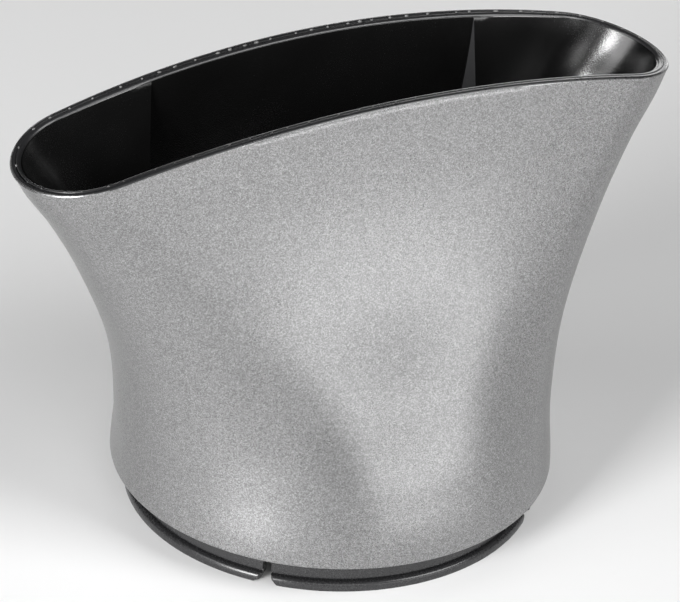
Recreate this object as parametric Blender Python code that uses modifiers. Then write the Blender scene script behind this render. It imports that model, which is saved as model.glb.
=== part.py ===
"""Concentrator nozzle for a hand-held hair dryer, standing on its collar.

The air comes in through the round collar and leaves through the long arched mouth.
A painted shell and a black duct liner are joined at the mouth. Between their lower
ends they hold the snap collar, which clips into the dryer. The nozzle swivels on it.

Origin: centre of the collar's lower end. +Z is the air's way out, X is the mouth's length.
"""
import math

import bmesh
import bpy
import numpy as np

MM = 0.001

# ---- Driving dimensions, in millimetres ----
GAP = 0.3                     # clearance between neighbouring pieces
SHELL_BASE_Z = 4.4            # lower edge of the shell
MOUTH_Z = 58.65               # middle of the mouth's edge
MOUTH_ARCH = 6.2              # how far the mouth's two ends drop below its middle
BASE_R = 27.82                # shell's lower end, which is round
BASE_ROUND = 0.3              # rounding of its lower outer edge
# the shell's stations: fraction of its height, half width, half depth
STATIONS = np.array([
    (0.00, BASE_R, BASE_R),
    (0.15, 28.00, 26.00),
    (0.35, 29.45, 21.80),
    (0.60, 34.35, 16.30),
    (0.80, 39.22, 13.15),
    (0.92, 42.32, 11.80),
    (1.00, 43.75, 11.05),
])
END_ROUND = 0.88              # radius of a section's end arcs, as a share of its half depth
RIM_ROUND = 0.4               # rounding of the shell's outer edge at the mouth
SHELL_WALL = ((0.0, 0.9), (0.8, 0.8), (1.0, 0.5))      # height fraction, thickness

BORE_R = 23.9                 # round bore of the collar and of the liner's lower end
LINER_FOOT_Z = 8.8
LINER_FOOT_TOP = 10.0
LINER_FOOT_R = 25.2
LINER_WALL = ((0.0, 0.9), (0.8, 0.8), (1.0, 0.5))
LIP_X = 42.40                 # half length of the mouth's clear opening
LIP_Y = 9.45                  # half height of the mouth's clear opening
LIP_DROP = 0.25               # the lip sits this far below the shell's edge
PANEL_FOOT_Y = 21.8           # the two sloping panels' distance from the axis, at the foot
PANEL_POWER = 1.40            # how straight these panels run from the mouth to the foot
PANEL_CROWN = 0.5             # share of this slope that is lost towards a panel's edges
POCKET_FOOT_Y = 5.4           # half depth of the two end pockets at the foot
END_INSET = ((0.1, 3.1), (0.85, 2.1), (1.0, 1.35))     # duct's end inside the shell's end

BEAD_R = 26.05                # snap bead, the widest part of the collar below the shell
BEAD_H = 1.2
BEAD_ROUND = 0.6              # rounding of the bead's upper edge
BEAD_EASE = 0.12              # chamfer of the bead's lower edge
GROOVE_R = 25.0
NECK_R = 25.4
NECK_Z = 1.45                 # lower edge of the neck, above the groove
FLANGE_R = 26.15
FLANGE_Z = 5.9                # underside of the flange that the shell's lip holds
COLLAR_TOP = 7.0
LIP_R = NECK_R + GAP          # the shell's turned-in lip, round the neck
LIP_TOP = FLANGE_Z - GAP
SLOT_WIDTH = 1.1
SLOT_TOP = 5.2
SLOT_CORNER = 0.8             # radius of the finger's lower corners at a slot
SLOT_ANGLES = (45.0, 135.0)   # each cutter makes two slots, on opposite sides

RING_INNER, RING_OUTER = 24.2, 25.5
RING_BOTTOM = COLLAR_TOP + GAP
RING_TOP = LINER_FOOT_Z - GAP

SHELL_POINTS = 16             # points along a quarter of a section
LINER_POINTS = (5, 3, 8)      # the same on the panel, the bore's arc and the end pocket
TURNED_STEPS = 80

ROUND_MIDDLE = 1.0 - math.sqrt(0.5)   # a rounding's middle, as a share of its radius
RISE = MOUTH_Z - SHELL_BASE_Z
HALF_X = STATIONS[-1, 1]
FOOT_T = (LINER_FOOT_TOP - SHELL_BASE_Z) / RISE


# ---- Shape of the nozzle ----
def through(stations, values, t):
    """A cubic curve through the stations, upright at the first one."""
    slopes = np.gradient(values, stations)
    slopes[0] = 0.0
    i = int(np.clip(np.searchsorted(stations, t, side="right") - 1, 0, len(stations) - 2))
    span = stations[i + 1] - stations[i]
    s = (t - stations[i]) / span
    return ((1 + 2 * s) * (1 - s) ** 2 * values[i]
            + s * (1 - s) ** 2 * span * slopes[i]
            + s * s * (3 - 2 * s) * values[i + 1]
            + s * s * (s - 1) * span * slopes[i + 1])


def half_width(t):
    return through(STATIONS[:, 0], STATIONS[:, 1], t)


def half_depth(t):
    return through(STATIONS[:, 0], STATIONS[:, 2], t)


def at_height(table, t):
    """Straight interpolation in a short table of (height fraction, value)."""
    return float(np.interp(t, [row[0] for row in table], [row[1] for row in table]))


def oval_y(x, a, b):
    """Half depth at x of a four-arc oval: a long arc along the side, a short one at the end."""
    end_r = END_ROUND * b
    end_centre = a - end_r
    side_r = (end_centre ** 2 + b * b - end_r * end_r) / (2 * (b - end_r))
    join_x = end_centre * side_r / (side_r - end_r)
    side = b - side_r + np.sqrt(np.maximum(0.0, side_r ** 2 - x ** 2))
    end = np.sqrt(np.maximum(0.0, end_r ** 2 - (x - end_centre) ** 2))
    return np.where(x < join_x, side, end)


def level_z(x, t):
    """Height of the level t over x: flat at the foot, arched like the mouth at the top."""
    return SHELL_BASE_Z + RISE * t - MOUTH_ARCH * (x / HALF_X) ** 2 * t ** 3


def spread(points, count):
    """The same line with count + 1 points, closer together where it turns."""
    steps = np.diff(points, axis=0)
    lengths = np.hypot(steps[:, 0], steps[:, 1])
    turns = np.abs(np.diff(np.unwrap(np.arctan2(steps[:, 1], steps[:, 0]))))
    share = lengths / max(lengths.sum(), 1e-9)
    share[1:] += turns / max(turns.sum(), 0.5)
    run = np.concatenate([[0.0], np.cumsum(share)])
    wanted = np.linspace(0.0, run[-1], count + 1)
    return np.stack([np.interp(wanted, run, points[:, k]) for k in range(2)], axis=1)


def oval_line(x_from, a, b):
    """Dense line along the oval from x_from to its end on the X axis."""
    turn = np.linspace(math.asin(min(1.0, x_from / a)), math.pi / 2, 400)
    x = a * np.sin(turn)
    return np.stack([x, oval_y(x, a, b)], axis=1)


def full_ring(quarter, z_of):
    """A quarter line, from the Y axis to the X axis, mirrored to a whole ring of 3D points."""
    x, y = quarter[:, 0], quarter[:, 1]
    x = np.concatenate([x, x[-2::-1], -x[1:], -x[-2:0:-1]])
    y = np.concatenate([y, -y[-2::-1], -y[1:], y[-2:0:-1]])
    return np.stack([x, y, z_of(x)], axis=1)


def shell_ring(t, inset=0.0, drop=0.0):
    """Ring of the shell at level t, moved inwards by inset and down by drop."""
    line = oval_line(0.0, half_width(t) - inset, half_depth(t) - inset)
    return full_ring(spread(line, SHELL_POINTS), lambda x: level_z(x, t) - drop)


def flat_ring(quarter, z):
    return full_ring(quarter, lambda x: np.full_like(x, z))


def round_ring(radius, z, count):
    turn = np.linspace(0.0, math.pi / 2, count + 1)
    return flat_ring(np.stack([radius * np.sin(turn), radius * np.cos(turn)], axis=1), z)


def crossing(inner, outer, low, high):
    """x where the curve inner(x) meets outer(x), by halving the interval."""
    for _ in range(50):
        middle = (low + high) / 2
        if inner(middle) < outer(middle):
            low = middle
        else:
            high = middle
    return (low + high) / 2


def duct_quarter(t, grow=0.0):
    """A quarter of the duct's section at level t, or of its outside with grow as the wall.

    The middle is the collar's bore cut off by the sloping panel. The ends are pockets
    that reach out to the mouth's ends and fade into the bore at the foot.
    """
    fade = (1.0 - t) / (1.0 - FOOT_T)
    lift = (PANEL_FOOT_Y - LIP_Y) * fade ** PANEL_POWER
    bore = BORE_R + grow
    end_x = half_width(t) - at_height(END_INSET, t) + grow
    end_y = LIP_Y + (POCKET_FOOT_Y - LIP_Y) * fade + grow

    def panel_y(x):
        slope = lift * (1.0 - PANEL_CROWN * (x / BORE_R) ** 2)
        return oval_y(x, LIP_X + grow, LIP_Y + grow) + slope

    def pocket_y(x):
        return oval_y(x, end_x, end_y)

    def bore_y(x):
        return np.sqrt(np.maximum(0.0, bore ** 2 - x ** 2))

    panel_end = crossing(panel_y, bore_y, 0.0, bore)
    pocket_start = max(panel_end, crossing(pocket_y, bore_y, 0.0, bore))
    panel_x = np.linspace(0.0, panel_end, 200)
    panel = np.stack([panel_x, panel_y(panel_x)], axis=1)
    arc_x = np.linspace(panel_end, pocket_start, 50)
    arc = np.stack([arc_x, bore_y(arc_x)], axis=1)
    pocket = oval_line(pocket_start, end_x, end_y)
    pocket[0] = arc[-1]
    parts = [spread(line, count) for line, count in zip((panel, arc, pocket), LINER_POINTS)]
    return np.concatenate([parts[0], parts[1][1:], parts[2][1:]])


def duct_ring(t, grow=0.0, drop=0.0):
    return full_ring(duct_quarter(t, grow), lambda x: level_z(x, t) - drop)


# ---- Building ----
def clear_scene():
    for obj in list(bpy.data.objects):
        bpy.data.objects.remove(obj, do_unlink=True)


def new_collection(name):
    collection = bpy.data.collections.new(name)
    bpy.context.scene.collection.children.link(collection)
    return collection


def plain_material(name, colour, roughness, metallic=0.0):
    material = bpy.data.materials.new(name)
    material.use_nodes = True
    shader = material.node_tree.nodes["Principled BSDF"]
    shader.inputs["Base Color"].default_value = (*colour, 1.0)
    shader.inputs["Roughness"].default_value = roughness
    shader.inputs["Metallic"].default_value = metallic
    return material


def add_mesh_object(name, bm, collection, material=None):
    mesh = bpy.data.meshes.new(name)
    bm.to_mesh(mesh)
    bm.free()
    obj = bpy.data.objects.new(name, mesh)
    collection.objects.link(obj)
    if material:
        mesh.materials.append(material)
    return obj


def shade_round(obj, angle=35.0):
    obj.data.shade_smooth()
    obj.data.set_sharp_from_angle(angle=math.radians(angle))


def loft(name, rings, collection, material):
    """One closed body whose skin runs through the rings and back to the first one."""
    bm = bmesh.new()
    rows = [[bm.verts.new(point * MM) for point in ring] for ring in rings]
    count = len(rows[0])
    for row, following in zip(rows, rows[1:] + rows[:1]):
        for k in range(count):
            j = (k + 1) % count
            bm.faces.new((row[k], row[j], following[j], following[k]))
    bmesh.ops.remove_doubles(bm, verts=bm.verts, dist=0.02 * MM)
    bmesh.ops.recalc_face_normals(bm, faces=bm.faces)
    obj = add_mesh_object(name, bm, collection, material)
    shade_round(obj)
    return obj


def turned(name, profile, collection, material):
    """Body of revolution about Z. The closed profile starts down its outer side."""
    bm = bmesh.new()
    verts = [bm.verts.new((r * MM, 0.0, z * MM)) for r, z in profile]
    for k, vert in enumerate(verts):
        bm.edges.new((vert, verts[(k + 1) % len(verts)]))
    obj = add_mesh_object(name, bm, collection, material)
    screw = obj.modifiers.new("turn", "SCREW")
    screw.steps = TURNED_STEPS
    screw.render_steps = TURNED_STEPS
    screw.use_merge_vertices = True
    screw.merge_threshold = 0.00001
    return obj


def slot_cutter(name, angle, collection):
    """A bar across the whole collar: one slot on each side, with its lower corners eased."""
    half = SLOT_WIDTH / 2
    below = -1.0
    corner = [(half + SLOT_CORNER * (1 - math.sin(a)), SLOT_CORNER * (1 - math.cos(a)))
              for a in np.radians((0, 30, 60, 90))]
    side = [(half + SLOT_CORNER, below)] + corner + [(half, SLOT_TOP)]
    outline = side + [(-u, z) for u, z in reversed(side)]
    bm = bmesh.new()
    reach = BEAD_R + 2.0
    face = bm.faces.new([bm.verts.new((-reach * MM, u * MM, z * MM)) for u, z in outline])
    grown = bmesh.ops.extrude_face_region(bm, geom=[face])
    moved = [item for item in grown["geom"] if isinstance(item, bmesh.types.BMVert)]
    bmesh.ops.translate(bm, verts=moved, vec=(2 * reach * MM, 0.0, 0.0))
    bmesh.ops.recalc_face_normals(bm, faces=bm.faces)
    cutter = add_mesh_object(name, bm, collection)
    cutter.rotation_euler.z = math.radians(angle)
    cutter.display_type = "WIRE"
    cutter.hide_render = True
    return cutter


# ---- The pieces ----
def outer_shell(collection):
    """Painted shell: flared outside, thin wall, and a lip turned in under the flange."""
    outside = [shell_ring(t) for t in (BASE_ROUND / RISE, 0.06, 0.12, 0.19, 0.27, 0.35, 0.43,
                                       0.51, 0.59, 0.67, 0.75, 0.83, 0.91, 0.965)]
    edge = at_height(SHELL_WALL, 1.0)
    eased = RIM_ROUND * ROUND_MIDDLE
    rim = [shell_ring(1.0 - RIM_ROUND / RISE), shell_ring(1.0, eased, eased),
           shell_ring(1.0, RIM_ROUND), shell_ring(1.0, edge)]
    inside = [shell_ring(t, at_height(SHELL_WALL, t))
              for t in (0.97, 0.90, 0.80, 0.69, 0.57, 0.45, 0.33, 0.22, 0.13, 0.06)]
    eased = BASE_ROUND * ROUND_MIDDLE
    base = [round_ring(radius, z, SHELL_POINTS) for radius, z in (
        (BASE_R - at_height(SHELL_WALL, 0.0), LIP_TOP),
        (LIP_R, LIP_TOP),
        (LIP_R, SHELL_BASE_Z),
        (BASE_R - BASE_ROUND, SHELL_BASE_Z),
        (BASE_R - eased, SHELL_BASE_Z + eased),
    )]
    paint = plain_material("silver_paint", (0.33, 0.33, 0.335), 0.42, 0.75)
    return loft("outer_shell", outside + rim + inside + base, collection, paint)


def inner_liner(collection):
    """Black duct: sloping panels in the middle, a pocket at each end, a flat foot below."""
    levels = (0.18, 0.27, 0.36, 0.45, 0.54, 0.63, 0.72, 0.80, 0.88, 0.95)
    wall = at_height(LINER_WALL, 0.0)
    inside = [flat_ring(duct_quarter(FOOT_T), LINER_FOOT_Z), duct_ring(FOOT_T)]
    inside += [duct_ring(t) for t in levels] + [duct_ring(1.0, 0.0, LIP_DROP)]
    outside = [duct_ring(1.0, at_height(LINER_WALL, 1.0), LIP_DROP / 2)]
    outside += [duct_ring(t, at_height(LINER_WALL, t)) for t in reversed(levels)]
    foot_line = duct_quarter(FOOT_T, wall)
    outside.append(flat_ring(foot_line, LINER_FOOT_TOP))
    foot_line *= LINER_FOOT_R / np.hypot(foot_line[:, 0], foot_line[:, 1])[:, None]
    foot = [flat_ring(foot_line, z) for z in (LINER_FOOT_TOP, LINER_FOOT_Z)]
    black = plain_material("black_gloss_plastic", (0.012, 0.012, 0.013), 0.18)
    return loft("inner_liner", inside + outside + foot, collection, black)


def snap_collar(collection, cutters):
    """Turned ring with bead, groove, neck and flange, slotted into four spring fingers."""
    ease = 0.25
    eased = BEAD_ROUND * ROUND_MIDDLE
    profile = [
        (FLANGE_R - ease, COLLAR_TOP), (FLANGE_R, COLLAR_TOP - ease),
        (FLANGE_R, FLANGE_Z), (NECK_R, FLANGE_Z),
        (NECK_R, NECK_Z + ease), (NECK_R - ease, NECK_Z),
        (GROOVE_R, NECK_Z), (GROOVE_R, BEAD_H),
        (BEAD_R - BEAD_ROUND, BEAD_H), (BEAD_R - eased, BEAD_H - eased),
        (BEAD_R, BEAD_H - BEAD_ROUND), (BEAD_R, BEAD_EASE), (BEAD_R - BEAD_EASE, 0.0),
        (BORE_R + ease, 0.0), (BORE_R, ease), (BORE_R, COLLAR_TOP),
    ]
    black = plain_material("black_matt_plastic", (0.02, 0.02, 0.021), 0.45)
    collar = turned("snap_collar", profile, collection, black)
    for index, angle in enumerate(SLOT_ANGLES):
        cut = collar.modifiers.new("slot", "BOOLEAN")
        cut.operation = "DIFFERENCE"
        cut.solver = "EXACT"
        cut.object = slot_cutter(f"slot_cutter_{index}", angle, cutters)
    return collar


def friction_ring(collection):
    """Silicone ring between collar and liner: it seals the swivel and gives it drag."""
    ease = 0.3
    profile = [
        (RING_OUTER - ease, RING_TOP), (RING_OUTER, RING_TOP - ease),
        (RING_OUTER, RING_BOTTOM + ease), (RING_OUTER - ease, RING_BOTTOM),
        (RING_INNER + ease, RING_BOTTOM), (RING_INNER, RING_BOTTOM + ease),
        (RING_INNER, RING_TOP - ease), (RING_INNER + ease, RING_TOP),
    ]
    silicone = plain_material("grey_silicone", (0.10, 0.10, 0.10), 0.6)
    return turned("friction_ring", profile, collection, silicone)


def main():
    clear_scene()
    parts = new_collection("concentrator_nozzle")
    cutters = new_collection("cutters")
    swivel = bpy.data.objects.new("swivel_axis", None)
    parts.objects.link(swivel)
    snap_collar(parts, cutters)
    for piece in (outer_shell(parts), inner_liner(parts), friction_ring(parts)):
        piece.parent = swivel


main()
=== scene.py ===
"""Looks of the concentrator nozzle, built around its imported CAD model.

Lengths are in millimetres and are scaled by MM where they meet Blender. The nozzle stands
on the floor at the origin, with the mouth's length along X and its front broad side at -Y.
"""
import math
import random

import bmesh
import bpy
import numpy as np
from mathutils import Matrix, Vector


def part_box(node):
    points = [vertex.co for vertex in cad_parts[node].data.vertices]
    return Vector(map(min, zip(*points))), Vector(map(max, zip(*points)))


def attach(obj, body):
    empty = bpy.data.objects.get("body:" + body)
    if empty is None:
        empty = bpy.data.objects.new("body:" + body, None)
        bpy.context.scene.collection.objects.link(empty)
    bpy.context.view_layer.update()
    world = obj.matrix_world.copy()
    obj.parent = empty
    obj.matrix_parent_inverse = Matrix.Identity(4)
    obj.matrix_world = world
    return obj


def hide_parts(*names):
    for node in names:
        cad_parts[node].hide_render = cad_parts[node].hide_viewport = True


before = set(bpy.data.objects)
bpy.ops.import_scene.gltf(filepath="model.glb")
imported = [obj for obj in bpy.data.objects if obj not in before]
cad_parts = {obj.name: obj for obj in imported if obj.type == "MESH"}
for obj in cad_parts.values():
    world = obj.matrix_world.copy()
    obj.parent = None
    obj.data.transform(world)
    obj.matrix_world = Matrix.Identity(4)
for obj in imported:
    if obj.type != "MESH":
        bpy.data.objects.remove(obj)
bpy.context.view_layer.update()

MM = 0.001
SHELL_LOW, SHELL_HIGH = (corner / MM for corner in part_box("outer_shell"))
RING_LOW, RING_HIGH = (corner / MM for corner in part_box("friction_ring"))
LINER_LOW_Z = (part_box("inner_liner")[0] / MM).z
COLLAR_TOP = (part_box("snap_collar")[1] / MM).z

# ---- Shape of the shell ----
BASE_Z = SHELL_LOW.z
RISE = SHELL_HIGH.z - SHELL_LOW.z
MOUTH_X, MOUTH_Y = 43.75, 11.05
BASE_R = 27.82
ARCH = 6.2                    # how far the mouth's ends drop below its middle
# fraction of the shell's height, half width, half depth
STATIONS = np.array([
    (0.00, BASE_R, BASE_R),
    (0.15, 28.00, 26.00),
    (0.35, 29.45, 21.80),
    (0.60, 34.35, 16.30),
    (0.80, 39.22, 13.15),
    (0.92, 42.32, 11.80),
    (1.00, MOUTH_X, MOUTH_Y),
])
END_ROUND = 0.88              # radius of a section's end arcs, as a share of its half depth
# fraction of the height, wall thickness
SHELL_WALL = ((0.0, 0.9), (0.8, 0.8), (0.98, 0.62), (1.0, 0.72))
SHELL_LIP_R = 25.7            # lip turned in under the collar's flange
SHELL_LIP_TOP = 5.6
BASE_ROUND = 0.28             # rounding of the lower outer edge

# ---- Shape of the duct ----
BORE_R = 23.9
FOOT_TOP = 10.0               # top of the flat foot
FOOT_T = (FOOT_TOP - BASE_Z) / RISE
FOOT_R = 25.2
LINER_WALL = ((0.0, 0.9), (0.8, 0.8), (0.98, 0.62), (1.0, 0.58))
LIP_X, LIP_Y = 42.40, 9.45    # half length and half depth of the clear opening
PANEL_FOOT_Y = 21.8           # half depth between the two sloping panels at the foot
PANEL_POWER = 1.40            # how fast they close in towards the mouth
PANEL_CROWN = 0.5             # share of that slope that is lost at the bore's radius
POCKET_FOOT_Y = 5.4           # half depth of the end pocket at the foot
# fraction of the height, distance from the shell's end to the pocket's end
END_INSET = ((0.1, 3.1), (0.85, 2.1), (1.0, MOUTH_X - LIP_X))

# ---- The mouth's rim ----
RIM_ROUND = 0.28              # rounding of the outer edge
PAINT_STEP = 0.05             # small step down inside the rounding
PAINT_REACH = (0.80, 0.96)    # share of the half length over which paint climbs the rounding
PAINT_ROWS = (0.2, 1.0)       # share of the rounding that is painted nearer the middle and beyond
SEAM = (0.50, 0.57)           # groove's sides, as shares of the way from outer edge to lip
SEAM_DEPTH = 0.45
SEAM_ROUND = 0.10
LIP_ROUND = 0.40              # rounding on the liner's inner edge
LIP_DROP = 0.10               # the lip sits this far below the shell's edge
LIP_DROP_POWER = 8            # how late the duct's rows take up that drop
RIM_WIDTH = (MOUTH_X - LIP_X + MOUTH_Y - LIP_Y) / 2    # mean of its widths along X and Y

# ---- Shape of the collar ----
BEAD_R = 26.05                # snap bead at the lower end
BEAD_H = 1.2
GROOVE_R = 25.0
NECK_R = 25.4
NECK_Z = 1.45                 # lower edge of the neck, above the groove
FLANGE_R, FLANGE_Z = 26.15, 5.9
SLOT_HALF, SLOT_TOP = 0.55, 5.2    # half width and upper end of a slot
SLOT_ANGLES = (45.0, 135.0, 225.0, 315.0)
FINGER_ROUND = 0.9            # lower corners of the fingers
FINGER_EDGE = 0.45            # upright edges of the fingers
FINGER_EDGE_IN = 0.25         # how far inside the bead's edge they are fully rounded
# where the slots' cutters have points, close together across the fingers' roundings
SLOT_RADII = (BORE_R - 2.0, BORE_R - 0.5, *np.linspace(BORE_R, BEAD_R + 0.3, 14), BEAD_R + 2.0)
SLOT_HEIGHTS = (-1.0, *np.linspace(0.0, BEAD_H, 13), 2.0, 3.2, 4.4, SLOT_TOP)
# roundings along the collar's section
BEAD_ROUND, BEAD_FOOT_ROUND = 0.6, 0.15
GROOVE_ROUND, NECK_ROUND = 0.06, 0.12
FLANGE_ROUND, FLANGE_TOP_ROUND = 0.1, 0.2
BORE_ROUND = 0.25

# ---- Silicone ring ----
RING_BORE = 24.2
RING_ROUND = 0.35

# ---- Beads of flash in the seam ----
FLASH_SEED = 7
FLASH_BACK = (0.11, 0.20)     # smallest and largest radius on the mouth's back edge
FLASH_FRONT = (0.05, 0.09)    # the same on its front edge
FLASH_LUMPS = 0.18            # unevenness, as a share of the radius
FLASH_STRETCH = (1.0, 2.2)    # length of a bead along the seam, in radii
FLASH_HEIGHT = 0.9            # its height, in radii
FLASH_SPACING = (1.6, 4.2)    # from one bead to the next

# ---- Fineness of the meshes ----
SHELL_POINTS = 52             # points on a quarter of the shell's sections
LINER_POINTS = (22, 8, 34)    # the same on the duct's panel, bore and pocket
SIDE_ROWS = 84                # rows up the shell's outside
SIDE_FOOT_T = 0.008           # t of the lowest of them, above the rounded lower edge
SHELL_INSIDE = (0.97, 0.06)   # t from top to bottom of the shell's inside
LINER_OUTSIDE = (0.985, 0.13)    # the same of the liner's outside
DUCT_ROWS = 72                # rows up the duct's inside
HIDDEN_ROWS = 30              # rows on the faces between shell and duct
TURNED_STEPS = 256            # steps round a turned piece
OVAL_SAMPLES, PANEL_SAMPLES, ARC_SAMPLES = 1500, 300, 60    # fine lines, before they are thinned
HALVINGS = 50                 # in the search for where two curves meet
WELD = 0.001                  # points closer than this are joined


def through(stations, values, t):
    """A cubic curve through the stations, upright at the first one."""
    slopes = np.gradient(values, stations)
    slopes[0] = 0.0
    i = int(np.clip(np.searchsorted(stations, t, side="right") - 1, 0, len(stations) - 2))
    span = stations[i + 1] - stations[i]
    s = (t - stations[i]) / span
    return ((1 + 2 * s) * (1 - s) ** 2 * values[i]
            + s * (1 - s) ** 2 * span * slopes[i]
            + s * s * (3 - 2 * s) * values[i + 1]
            + s * s * (s - 1) * span * slopes[i + 1])


# t is the fraction of the shell's height, 0 at its lower edge and 1 at the mouth.
def half_width(t):
    return through(STATIONS[:, 0], STATIONS[:, 1], t)


def half_depth(t):
    return through(STATIONS[:, 0], STATIONS[:, 2], t)


def at_height(table, t):
    """The table's value at t, on a straight line between its rows."""
    return float(np.interp(t, [row[0] for row in table], [row[1] for row in table]))


def oval_y(x, a, b):
    """Half depth at x of a four-arc oval: a long arc along the side, a short one at the end."""
    end_r = END_ROUND * b
    end_centre = a - end_r
    side_r = (end_centre ** 2 + b * b - end_r * end_r) / (2 * (b - end_r))
    join_x = end_centre * side_r / (side_r - end_r)
    side = b - side_r + np.sqrt(np.maximum(0.0, side_r ** 2 - x ** 2))
    end = np.sqrt(np.maximum(0.0, end_r ** 2 - (x - end_centre) ** 2))
    return np.where(x < join_x, side, end)


def level_z(x, t):
    """Height of level t at x: flat at the foot, arched at the mouth."""
    return BASE_Z + RISE * t - ARCH * (x / MOUTH_X) ** 2 * t ** 3


def spread(points, count):
    """The same line with count + 1 points, closer together where it turns."""
    steps = np.diff(points, axis=0)
    lengths = np.hypot(steps[:, 0], steps[:, 1])
    turns = np.abs(np.diff(np.unwrap(np.arctan2(steps[:, 1], steps[:, 0]))))
    share = lengths / max(lengths.sum(), 1e-9)
    share[1:] += turns / max(turns.sum(), 0.5)
    run = np.concatenate([[0.0], np.cumsum(share)])
    wanted = np.linspace(0.0, run[-1], count + 1)
    return np.stack([np.interp(wanted, run, points[:, k]) for k in range(2)], axis=1)


def oval_line(x_from, a, b):
    """The oval's quarter from x_from to its end, as a fine line of (x, y)."""
    turn = np.linspace(math.asin(min(1.0, x_from / a)), math.pi / 2, OVAL_SAMPLES)
    x = a * np.sin(turn)
    return np.stack([x, oval_y(x, a, b)], axis=1)


def full_ring(quarter, z_of):
    """The whole ring that mirrors a quarter line in both axes, with its heights."""
    x, y = quarter[:, 0], quarter[:, 1]
    x = np.concatenate([x, x[-2::-1], -x[1:], -x[-2:0:-1]])
    y = np.concatenate([y, -y[-2::-1], -y[1:], y[-2:0:-1]])
    return np.stack([x, y, z_of(x)], axis=1)


def flat_ring(quarter, z):
    return full_ring(quarter, lambda x: np.full_like(x, z))


def shell_ring(t, inset=0.0):
    line = oval_line(0.0, half_width(t) - inset, half_depth(t) - inset)
    return full_ring(spread(line, SHELL_POINTS), lambda x: level_z(x, t))


def round_ring(radius, z, count):
    turn = np.linspace(0.0, math.pi / 2, count + 1)
    quarter = np.stack([radius * np.sin(turn), radius * np.cos(turn)], axis=1)
    return flat_ring(quarter, z)


def crossing(inner, outer, low, high):
    """Where the inner curve meets the outer one, found by halving."""
    for _ in range(HALVINGS):
        middle = (low + high) / 2
        if inner(middle) < outer(middle):
            low = middle
        else:
            high = middle
    return (low + high) / 2


def duct_quarter(t, grow=0.0):
    """Bore cut off by the sloping panel, with a pocket that reaches the mouth's end."""
    fade = (1.0 - t) / (1.0 - FOOT_T)
    lift = (PANEL_FOOT_Y - LIP_Y) * fade ** PANEL_POWER
    bore = BORE_R + grow
    end_x = half_width(t) - at_height(END_INSET, t) + grow
    end_y = LIP_Y + (POCKET_FOOT_Y - LIP_Y) * fade + grow

    def panel_y(x):
        slope = lift * (1.0 - PANEL_CROWN * (x / BORE_R) ** 2)
        return oval_y(x, LIP_X + grow, LIP_Y + grow) + slope

    def pocket_y(x):
        return oval_y(x, end_x, end_y)

    def bore_y(x):
        return np.sqrt(np.maximum(0.0, bore ** 2 - x ** 2))

    panel_end = crossing(panel_y, bore_y, 0.0, bore)
    pocket_start = max(panel_end, crossing(pocket_y, bore_y, 0.0, bore))
    panel_x = np.linspace(0.0, panel_end, PANEL_SAMPLES)
    panel = np.stack([panel_x, panel_y(panel_x)], axis=1)
    arc_x = np.linspace(panel_end, pocket_start, ARC_SAMPLES)
    arc = np.stack([arc_x, bore_y(arc_x)], axis=1)
    pocket = oval_line(pocket_start, end_x, end_y)
    pocket[0] = arc[-1]
    parts = [spread(line, count) for line, count in zip((panel, arc, pocket), LINER_POINTS)]
    return np.concatenate([parts[0], parts[1][1:], parts[2][1:]])


def duct_ring(t, grow=0.0, drop=0.0):
    return full_ring(duct_quarter(t, grow), lambda x: level_z(x, t) - drop)


def flat_duct_ring(t, z):
    return flat_ring(duct_quarter(t), z)


def rim_width(share):
    """Widths along X and along Y of the rim from its outer edge to the given share."""
    return share * (MOUTH_X - LIP_X), share * (MOUTH_Y - LIP_Y)


def shell_rim_ring(share, drop):
    in_x, in_y = rim_width(share)
    line = oval_line(0.0, MOUTH_X - in_x, MOUTH_Y - in_y)
    return full_ring(spread(line, SHELL_POINTS), lambda x: level_z(x, 1.0) - drop)


def liner_rim_ring(share, drop):
    """The liner's lip, widened to the given share of the way from outer edge to lip."""
    out_x, out_y = rim_width(1.0 - share)
    ring = duct_ring(1.0, drop=drop)
    return ring * np.array([(LIP_X + out_x) / LIP_X, (LIP_Y + out_y) / LIP_Y, 1.0])


def quarter_turn(radius, steps=5):
    """Offsets (sideways, down) along a rounded edge, from the side wall up to the top."""
    turn = np.linspace(0.0, math.pi / 2, steps + 1)
    return [(radius * (1 - math.cos(a)), radius * (1 - math.sin(a))) for a in turn]


# ---- Building ----
def mesh_object(name, bm, materials):
    mesh = bpy.data.meshes.new(name)
    bm.to_mesh(mesh)
    bm.free()
    obj = bpy.data.objects.new(name, mesh)
    bpy.context.scene.collection.objects.link(obj)
    for material in materials:
        mesh.materials.append(material)
    return obj


def shade_round(obj, angle=30.0):
    """Smooth shading, except across edges sharper than the angle."""
    obj.data.shade_smooth()
    obj.data.set_sharp_from_angle(angle=math.radians(angle))


def loft(name, rings, materials, slot_of):
    """One closed skin through the rings. slot_of(row, k) gives a face's material slot."""
    bm = bmesh.new()
    rows = [[bm.verts.new(point * MM) for point in ring] for ring in rings]
    count = len(rows[0])
    for number, (row, following) in enumerate(zip(rows, rows[1:] + rows[:1])):
        for k in range(count):
            j = (k + 1) % count
            face = bm.faces.new((row[k], row[j], following[j], following[k]))
            face.material_index = slot_of(number, k)
    bmesh.ops.remove_doubles(bm, verts=bm.verts, dist=WELD * MM)
    bmesh.ops.recalc_face_normals(bm, faces=bm.faces)
    obj = mesh_object(name, bm, materials)
    shade_round(obj)
    return obj


def rounded(corners, steps=4):
    """Closed (r, z) profile from (r, z, radius) corners, with each corner rounded."""
    points = []
    for k, (r, z, radius) in enumerate(corners):
        here = Vector((r, z))
        before = (Vector(corners[k - 1][:2]) - here).normalized()
        after = (Vector(corners[(k + 1) % len(corners)][:2]) - here).normalized()
        start, end = here + before * radius, here + after * radius
        for s in np.linspace(0.0, 1.0, steps + 1):
            points.append(start * (1 - s) ** 2 + here * 2 * s * (1 - s) + end * s * s)
    return points


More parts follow.
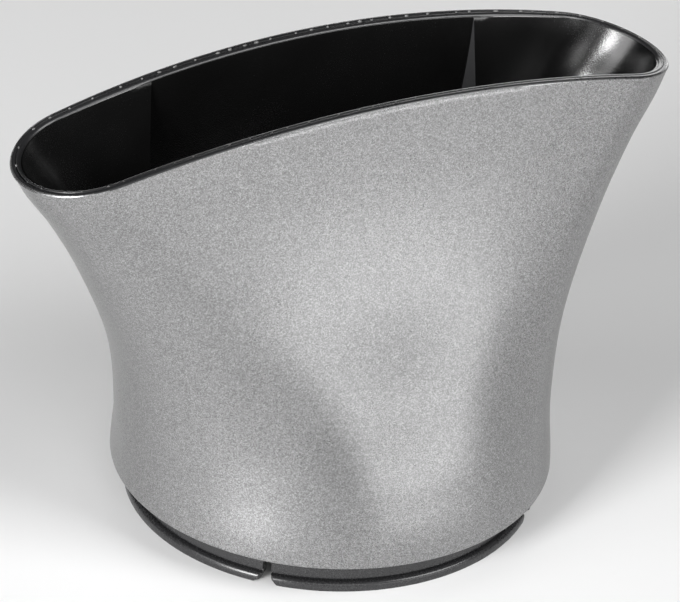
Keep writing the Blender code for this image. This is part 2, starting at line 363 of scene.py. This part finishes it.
def turned(name, profile, materials):
    """The profile spun round the Z axis."""
    bm = bmesh.new()
    verts = [bm.verts.new((p.x * MM, 0.0, p.y * MM)) for p in profile]
    for k, vert in enumerate(verts):
        bm.edges.new((vert, verts[(k + 1) % len(verts)]))
    bmesh.ops.spin(bm, geom=bm.verts[:] + bm.edges[:], axis=(0, 0, 1), cent=(0, 0, 0),
                   angle=math.tau, steps=TURNED_STEPS, use_merge=True)
    bmesh.ops.remove_doubles(bm, verts=bm.verts, dist=WELD * MM)
    bmesh.ops.recalc_face_normals(bm, faces=bm.faces)
    return mesh_object(name, bm, materials)


# ---- Materials ----
class Nodes:
    """Small helper that adds and joins the nodes of one new material."""

    def __init__(self, name):
        self.material = bpy.data.materials.new(name)
        self.material.use_nodes = True
        self.tree = self.material.node_tree
        self.shader = self.tree.nodes["Principled BSDF"]
        self.place = self.add("ShaderNodeTexCoord").outputs["Object"]

    def add(self, kind, **settings):
        node = self.tree.nodes.new(kind)
        for key, value in settings.items():
            setattr(node, key, value)
        return node

    def join(self, output, socket):
        self.tree.links.new(output, socket)

    def noise(self, scale, detail=2.0, roughness=0.5):
        node = self.add("ShaderNodeTexNoise")
        node.inputs["Scale"].default_value = scale
        node.inputs["Detail"].default_value = detail
        node.inputs["Roughness"].default_value = roughness
        self.join(self.place, node.inputs["Vector"])
        return node.outputs["Fac"]

    def cells(self, scale):
        """A random grey for each small cell."""
        node = self.add("ShaderNodeTexVoronoi")
        node.inputs["Scale"].default_value = scale
        self.join(self.place, node.inputs["Vector"])
        split = self.add("ShaderNodeSeparateColor")
        self.join(node.outputs["Color"], split.inputs[0])
        return split.outputs[0]

    def ramp(self, value, low, high, from_low=0.0, from_high=1.0):
        node = self.add("ShaderNodeMapRange")
        node.inputs["From Min"].default_value = from_low
        node.inputs["From Max"].default_value = from_high
        node.inputs["To Min"].default_value = low
        node.inputs["To Max"].default_value = high
        self.join(value, node.inputs["Value"])
        return node.outputs["Result"]

    def math(self, operation, first, second):
        node = self.add("ShaderNodeMath", operation=operation)
        for socket, value in zip(node.inputs, (first, second)):
            if isinstance(value, (int, float)):
                socket.default_value = value
            else:
                self.join(value, socket)
        return node.outputs[0]

    def mix(self, factor, first, second):
        node = self.add("ShaderNodeMix", data_type="RGBA")
        self.join(factor, node.inputs[0])
        node.inputs[6].default_value = (*first, 1.0)
        node.inputs[7].default_value = (*second, 1.0)
        return node.outputs[2]

    def bump(self, height, distance, strength):
        node = self.add("ShaderNodeBump")
        node.inputs["Distance"].default_value = distance
        node.inputs["Strength"].default_value = strength
        self.join(height, node.inputs["Height"])
        return node.outputs["Normal"]

    def specular(self, level):
        self.shader.inputs["Specular IOR Level"].default_value = level

    def finish(self, colour, roughness, normal, metallic=0.0):
        self.join(colour, self.shader.inputs["Base Color"])
        self.join(roughness, self.shader.inputs["Roughness"])
        self.join(normal, self.shader.inputs["Normal"])
        self.shader.inputs["Metallic"].default_value = metallic
        return self.material


PAINT_DARK, PAINT_LIGHT = (0.172, 0.172, 0.173), (0.43, 0.43, 0.433)
GLOSS_DARK, GLOSS_LIGHT = (0.003, 0.003, 0.003), (0.006, 0.006, 0.006)
ETCHED_DARK, ETCHED_LIGHT = (0.009, 0.009, 0.010), (0.030, 0.030, 0.031)
# the flash colours are far lighter than the black plastic: a painted highlight for the beads'
# glints
FLASH_GLINT_DARK, FLASH_GLINT_LIGHT = (0.05, 0.05, 0.05), (0.24, 0.24, 0.24)
SILICONE_DARK, SILICONE_LIGHT = (0.07, 0.07, 0.07), (0.12, 0.12, 0.12)
FLAKE_SHARE = 0.75            # share of the single flakes in the grain, the rest is clumps


def silver_paint():
    """Fine aluminium flake in a satin lacquer, with a faint orange peel."""
    n = Nodes("silver_paint")
    flake = n.cells(scale=10500.0)
    clump = n.cells(scale=5400.0)
    cloud = n.noise(scale=60.0, detail=3.0)
    single = n.math("MULTIPLY", flake, FLAKE_SHARE)
    grain = n.math("ADD", single, n.math("MULTIPLY", clump, 1.0 - FLAKE_SHARE))
    tone = n.math("ADD", n.math("POWER", grain, 1.6), n.ramp(cloud, low=-0.02, high=0.02))
    colour = n.mix(tone, PAINT_DARK, PAINT_LIGHT)
    uneven = n.math("ADD", flake, cloud)
    roughness = n.ramp(uneven, low=0.26, high=0.34, from_low=0.3, from_high=1.6)
    peel = n.noise(scale=3600.0, detail=2.0)
    normal = n.bump(peel, distance=0.00002, strength=0.45)
    n.shader.inputs["Coat Weight"].default_value = 0.10
    n.shader.inputs["Coat Roughness"].default_value = 0.25
    return n.finish(colour, roughness, normal, metallic=0.85)


def black_gloss():
    """Black heat-resistant plastic from a sanded mould: glossy, with a sandy glitter."""
    n = Nodes("black_gloss_plastic")
    sand = n.noise(scale=5600.0, detail=2.0)
    cloud = n.noise(scale=90.0, detail=3.0)
    colour = n.mix(cloud, GLOSS_DARK, GLOSS_LIGHT)
    uneven = n.math("ADD", cloud, sand)
    roughness = n.ramp(uneven, low=0.16, high=0.30, from_low=0.6, from_high=1.4)
    normal = n.bump(sand, distance=0.00002, strength=0.7)
    n.specular(1.0)
    return n.finish(colour, roughness, normal)


def black_etched(name, smoothest, roughest, depth):
    """Spark-eroded black plastic: dull, with a fine pebbled surface."""
    n = Nodes(name)
    pebble = n.noise(scale=3600.0, detail=3.0, roughness=0.6)
    cloud = n.noise(scale=120.0, detail=2.0)
    colour = n.mix(pebble, ETCHED_DARK, ETCHED_LIGHT)
    uneven = n.math("ADD", pebble, cloud)
    roughness = n.ramp(uneven, low=smoothest, high=roughest, from_low=0.6, from_high=1.4)
    normal = n.bump(pebble, distance=depth, strength=0.6)
    n.specular(0.6)
    return n.finish(colour, roughness, normal)


def flash_painted_glint():
    """Beads of black melt, coloured a lighter grey in patches: a painted highlight standing in for
    the glints on them.
    """
    n = Nodes("seam_flash_painted_glint")
    # patches of lighter grey on the beads: painted highlight for their glints
    glint_patches = n.noise(scale=2500.0, detail=2.0)
    colour = n.mix(glint_patches, FLASH_GLINT_DARK, FLASH_GLINT_LIGHT)
    roughness = n.ramp(glint_patches, low=0.25, high=0.45)
    return n.finish(colour, roughness, n.bump(glint_patches, distance=0.00001, strength=0.4))


def silicone():
    """Dull grey rubber with a dusty skin."""
    n = Nodes("grey_silicone")
    dust = n.noise(scale=1500.0, detail=4.0)
    colour = n.mix(dust, SILICONE_DARK, SILICONE_LIGHT)
    roughness = n.ramp(dust, low=0.5, high=0.7)
    return n.finish(colour, roughness, n.bump(dust, distance=0.00003, strength=0.4))


# ---- Pieces ----
def painted_shell(paint, rim_plastic):
    """Flared shell, painted outside. Its rim and inside are bare plastic.

    The paint covers the mouth's rounded edge at the two ends, and its lower part between.
    """
    levels = np.linspace(SIDE_FOOT_T, 1.0 - RIM_ROUND / RISE, SIDE_ROWS)
    outside = [shell_ring(t) for t in levels]
    side_rows = len(outside) - 1
    edge = [shell_rim_ring(side / RIM_WIDTH, drop) for side, drop in quarter_turn(RIM_ROUND)[1:]]
    edge_rows = len(edge)
    step = (RIM_ROUND + PAINT_STEP) / RIM_WIDTH
    rim = [shell_rim_ring(step, PAINT_STEP)]
    rim += [shell_rim_ring(SEAM[0] - side / RIM_WIDTH, PAINT_STEP + drop)
            for side, drop in reversed(quarter_turn(SEAM_ROUND, 3))]
    rim.append(shell_rim_ring(SEAM[0], SEAM_DEPTH))
    levels = np.linspace(*SHELL_INSIDE, HIDDEN_ROWS)
    inside = [shell_ring(t, at_height(SHELL_WALL, t)) for t in levels]
    wall_r = BASE_R - at_height(SHELL_WALL, 0.0)
    base = [round_ring(wall_r, SHELL_LIP_TOP, SHELL_POINTS),
            round_ring(SHELL_LIP_R, SHELL_LIP_TOP, SHELL_POINTS),
            round_ring(SHELL_LIP_R, BASE_Z, SHELL_POINTS)]
    base += [round_ring(BASE_R - side, BASE_Z + drop, SHELL_POINTS)
             for side, drop in reversed(quarter_turn(BASE_ROUND, 4))]
    bare_end = side_rows + edge_rows + len(rim) + len(inside) + 2
    reach = np.abs(edge[-1][:, 0]) / MOUTH_X
    painted = side_rows + np.rint(edge_rows * np.interp(reach, PAINT_REACH, PAINT_ROWS))

    def slot_of(row, k):
        return 1 if painted[k] <= row <= bare_end else 0

    rings = outside + edge + rim + inside + base
    return loft("shell_painted", rings, [paint, rim_plastic], slot_of)


def duct_liner(gloss, etched, rim_plastic):
    """Black duct: glossy panels and pockets, etched where the bore's arc is left between them."""
    levels = np.linspace(FOOT_T, 1.0 - LIP_ROUND / RISE, DUCT_ROWS)
    inside = [flat_duct_ring(FOOT_T, LINER_LOW_Z)]
    inside += [duct_ring(t, drop=LIP_DROP * t ** LIP_DROP_POWER) for t in levels]
    lip = [liner_rim_ring(1.0 - side / RIM_WIDTH, LIP_DROP + drop)
           for side, drop in quarter_turn(LIP_ROUND)[1:]]
    lip += [liner_rim_ring(SEAM[1] + side / RIM_WIDTH, LIP_DROP + drop)
            for side, drop in reversed(quarter_turn(SEAM_ROUND, 3))]
    levels = np.linspace(*LINER_OUTSIDE, HIDDEN_ROWS)
    outside = [duct_ring(t, at_height(LINER_WALL, t)) for t in levels]
    wall_line = duct_quarter(FOOT_T, at_height(LINER_WALL, 0.0))
    outside.append(flat_ring(wall_line, FOOT_TOP))
    foot_line = wall_line * FOOT_R / np.hypot(wall_line[:, 0], wall_line[:, 1])[:, None]
    foot = [flat_ring(foot_line, z) for z in (FOOT_TOP, LINER_LOW_Z)]
    quarter = sum(LINER_POINTS)
    arc = range(LINER_POINTS[0], LINER_POINTS[0] + LINER_POINTS[1])

    def slot_of(row, k):
        if row >= len(inside):
            return 2
        along = k % quarter
        if (k // quarter) % 2:
            along = quarter - 1 - along
        return 1 if along in arc else 0

    return loft("duct_liner", inside + lip + outside + foot, [gloss, etched, rim_plastic], slot_of)


def seam_flash(material):
    """Irregular beads of melt in the seam between the shell's edge and the liner's.

    They stand out on the back edge and are small on the front.
    """
    chance = random.Random(FLASH_SEED)
    line = shell_rim_ring(sum(SEAM) / 2, 0.0)
    steps = np.linalg.norm(np.roll(line, -1, axis=0) - line, axis=1)
    run = np.concatenate([[0.0], np.cumsum(steps)])
    bm = bmesh.new()
    place = 0.0
    while place < run[-1] - 1.0:
        i = min(int(np.searchsorted(run, place, side="right")) - 1, len(line) - 1)
        along = line[(i + 1) % len(line)] - line[i]
        point = line[i] + along * (place - run[i]) / steps[i]
        size = chance.uniform(*(FLASH_BACK if point[1] > 0.0 else FLASH_FRONT))
        bead = bmesh.ops.create_icosphere(bm, subdivisions=2, radius=MM)["verts"]
        for vert in bead:
            vert.co *= 1.0 + chance.uniform(-FLASH_LUMPS, FLASH_LUMPS)
        move = Matrix.Translation(Vector(point) * MM)
        turn = Matrix.Rotation(math.atan2(along[1], along[0]), 4, "Z")
        length = size * chance.uniform(*FLASH_STRETCH)
        scale = Matrix.Diagonal((length, size, size * FLASH_HEIGHT, 1.0))
        bmesh.ops.transform(bm, matrix=move @ turn @ scale, verts=bead)
        place += chance.uniform(*FLASH_SPACING)
    obj = mesh_object("seam_flash", bm, [material])
    obj.data.shade_smooth()
    return obj


def slot_half(r, z):
    """Half width of a slot at radius r and height z, wider where the finger is rounded."""
    def ease(distance, radius):
        inside = min(max(radius - distance, 0.0), radius)
        return radius - math.sqrt(radius * radius - inside * inside)

    return SLOT_HALF + ease(z, FINGER_ROUND) + ease(BEAD_R - FINGER_EDGE_IN - r, FINGER_EDGE)


def slot_cutter(angle):
    """Closed body that fills one slot, flared round the fingers' corners."""
    bm = bmesh.new()

    def side(sign):
        return [[bm.verts.new(Vector((r, sign * slot_half(r, z), z)) * MM) for z in SLOT_HEIGHTS]
                for r in SLOT_RADII]

    left, right = side(1.0), side(-1.0)
    last = len(SLOT_HEIGHTS) - 1
    for grid in (left, right):
        for a, b in zip(grid, grid[1:]):
            for k in range(last):
                bm.faces.new((a[k], a[k + 1], b[k + 1], b[k]))
    for i in range(len(SLOT_RADII) - 1):
        for k in (0, last):
            bm.faces.new((left[i][k], left[i + 1][k], right[i + 1][k], right[i][k]))
    for k in range(last):
        bm.faces.new((left[0][k], left[0][k + 1], right[0][k + 1], right[0][k]))
        bm.faces.new((left[-1][k], left[-1][k + 1], right[-1][k + 1], right[-1][k]))
    bmesh.ops.recalc_face_normals(bm, faces=bm.faces)
    cutter = mesh_object("slot_cutter", bm, [])
    cutter.rotation_euler.z = math.radians(angle)
    return cutter


def collar_ring(etched):
    """Snap collar: flange, neck, groove and bead, slotted into four fingers."""
    profile = rounded([
        (FLANGE_R, COLLAR_TOP, FLANGE_TOP_ROUND),
        (FLANGE_R, FLANGE_Z, FLANGE_ROUND),
        (NECK_R, FLANGE_Z, FLANGE_ROUND),
        (NECK_R, NECK_Z, NECK_ROUND),
        (GROOVE_R, NECK_Z, GROOVE_ROUND),
        (GROOVE_R, BEAD_H, GROOVE_ROUND),
        (BEAD_R, BEAD_H, BEAD_ROUND),
        (BEAD_R, 0.0, BEAD_FOOT_ROUND),
        (BORE_R, 0.0, BORE_ROUND),
        (BORE_R, COLLAR_TOP, FLANGE_TOP_ROUND),
    ])
    collar = turned("collar_ring", profile, [etched])
    cutters = [slot_cutter(angle) for angle in SLOT_ANGLES]
    for cutter in cutters:
        cut = collar.modifiers.new("slot", "BOOLEAN")
        cut.operation = "DIFFERENCE"
        cut.solver = "EXACT"
        cut.object = cutter
    depsgraph = bpy.context.evaluated_depsgraph_get()
    mesh = bpy.data.meshes.new_from_object(collar.evaluated_get(depsgraph))
    collar.modifiers.clear()
    collar.data = mesh
    for cutter in cutters:
        bpy.data.objects.remove(cutter, do_unlink=True)
    shade_round(collar, angle=38.0)
    return collar


def silicone_ring(material):
    profile = rounded([
        (RING_HIGH.x, RING_HIGH.z, RING_ROUND),
        (RING_HIGH.x, RING_LOW.z, RING_ROUND),
        (RING_BORE, RING_LOW.z, RING_ROUND),
        (RING_BORE, RING_HIGH.z, RING_ROUND),
    ])
    ring = turned("silicone_ring", profile, [material])
    ring.data.shade_smooth()
    return ring


# ---- Stage, camera and light: metres, degrees and watts ----
CAMERA_AZIMUTH, CAMERA_ELEVATION, CAMERA_ROLL = -29.25, 30.6, 3.06
CAMERA_AIM = Vector((0.0003, 0.0, 0.0257))
CAMERA_DISTANCE = 0.551
CAMERA_LENS, CAMERA_SENSOR = 235.3, 36.0

LAMP_AIM = Vector((0.0, 0.0, 0.03))
LAMP_DISTANCE = 0.80
# azimuth and elevation of the lamp's place, width, height, power
LAMPS = {
    "key_softbox": (37.0, 42.0, 0.42, 0.34, 3.9),
    "left_softbox": (-67.0, 15.0, 0.27, 0.44, 10.2),
    "left_back_softbox": (-94.0, 32.0, 0.34, 0.24, 1.0),
    "front_strip": (22.0, 5.0, 0.80, 0.17, 1.25),
    "front_softbox": (-18.0, 29.0, 0.36, 0.30, 1.0),
    "backdrop_strip": (145.0, 6.0, 0.66, 0.16, 1.3),
}

FLOOR_RADIUS = 0.60
FLOOR_DARK, FLOOR_LIGHT = (0.86, 0.86, 0.86), (0.89, 0.89, 0.89)
BACKDROP_HEIGHT = 0.13        # sine of the elevation at which the backdrop ends
BACKDROP_STRENGTH = 0.75


def direction(azimuth, elevation):
    """Unit vector to a place round the nozzle, with azimuth 0 at the front and 90 at the right."""
    a, e = math.radians(azimuth), math.radians(elevation)
    return Vector((math.sin(a) * math.cos(e), -math.cos(a) * math.cos(e), math.sin(e)))


def add_camera():
    back = direction(CAMERA_AZIMUTH, CAMERA_ELEVATION)
    azimuth, roll = math.radians(CAMERA_AZIMUTH), math.radians(CAMERA_ROLL)
    right = Vector((math.cos(azimuth), math.sin(azimuth), 0.0))
    up = back.cross(right)
    tilted_right = right * math.cos(roll) + up * math.sin(roll)
    tilted_up = up * math.cos(roll) - right * math.sin(roll)
    data = bpy.data.cameras.new("camera")
    data.lens = CAMERA_LENS
    data.sensor_width = CAMERA_SENSOR
    data.clip_start = 0.01
    camera = bpy.data.objects.new("camera", data)
    turn = Matrix((tilted_right, tilted_up, back)).transposed().to_4x4()
    camera.matrix_world = Matrix.Translation(CAMERA_AIM + back * CAMERA_DISTANCE) @ turn
    bpy.context.scene.collection.objects.link(camera)
    bpy.context.scene.camera = camera


def add_lamp(name, azimuth, elevation, width, height, power):
    back = direction(azimuth, elevation)
    data = bpy.data.lights.new(name, "AREA")
    data.shape = "RECTANGLE"
    data.size = width
    data.size_y = height
    data.energy = power
    lamp = bpy.data.objects.new(name, data)
    lamp.location = LAMP_AIM + back * LAMP_DISTANCE
    lamp.visible_camera = False
    lamp.rotation_mode = "QUATERNION"
    lamp.rotation_quaternion = back.to_track_quat("Z", "Y")
    bpy.context.scene.collection.objects.link(lamp)


def add_floor():
    """Round pale table top with a faint unevenness."""
    bm = bmesh.new()
    bmesh.ops.create_circle(bm, cap_ends=True, segments=256, radius=FLOOR_RADIUS)
    n = Nodes("pale_floor")
    tone = n.noise(scale=3.0, detail=2.0)
    colour = n.mix(tone, FLOOR_DARK, FLOOR_LIGHT)
    roughness = n.ramp(tone, low=0.6, high=0.7)
    material = n.finish(colour, roughness, n.bump(tone, distance=0.0001, strength=0.1))
    mesh_object("floor", bm, [material])


def add_world():
    """A dark studio with a pale backdrop behind the floor's edge."""
    world = bpy.data.worlds.new("studio")
    world.use_nodes = True
    tree = world.node_tree
    place = tree.nodes.new("ShaderNodeTexCoord")
    split = tree.nodes.new("ShaderNodeSeparateXYZ")
    tree.links.new(place.outputs["Generated"], split.inputs[0])
    level = tree.nodes.new("ShaderNodeMath")
    level.operation = "ABSOLUTE"
    tree.links.new(split.outputs["Z"], level.inputs[0])
    fade = tree.nodes.new("ShaderNodeMapRange")
    fade.inputs["From Max"].default_value = BACKDROP_HEIGHT
    fade.inputs["To Min"].default_value = BACKDROP_STRENGTH
    fade.inputs["To Max"].default_value = 0.0
    tree.links.new(level.outputs[0], fade.inputs["Value"])
    background = tree.nodes["Background"]
    background.inputs["Color"].default_value = (1.0, 1.0, 1.0, 1.0)
    tree.links.new(fade.outputs["Result"], background.inputs["Strength"])
    bpy.context.scene.world = world


def main():
    paint = silver_paint()
    gloss = black_gloss()
    wall_texture = black_etched("black_etched_plastic", 0.40, 0.52, depth=0.00002)
    collar_texture = black_etched("black_collar_plastic", 0.22, 0.32, depth=0.00001)
    rim_texture = black_etched("black_rim_plastic", 0.24, 0.36, depth=0.000012)
    pieces = (
        (painted_shell(paint, rim_texture), "nozzle", ("outer_shell",), "shell"),
        (duct_liner(gloss, wall_texture, rim_texture), "nozzle", ("inner_liner",), "liner"),
        (seam_flash(flash_painted_glint()), "nozzle", (), "liner"),
        (silicone_ring(silicone()), "nozzle", ("friction_ring",), "silicone"),
        (collar_ring(collar_texture), "collar", ("snap_collar",), "collar"),
    )
    for piece, body, nodes, slot in pieces:
        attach(piece, body)
        if nodes:
            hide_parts(*nodes)
    add_floor()
    add_world()
    add_camera()
    for name, values in LAMPS.items():
        add_lamp(name, *values)
    bpy.context.scene.view_settings.view_transform = "Standard"


main()
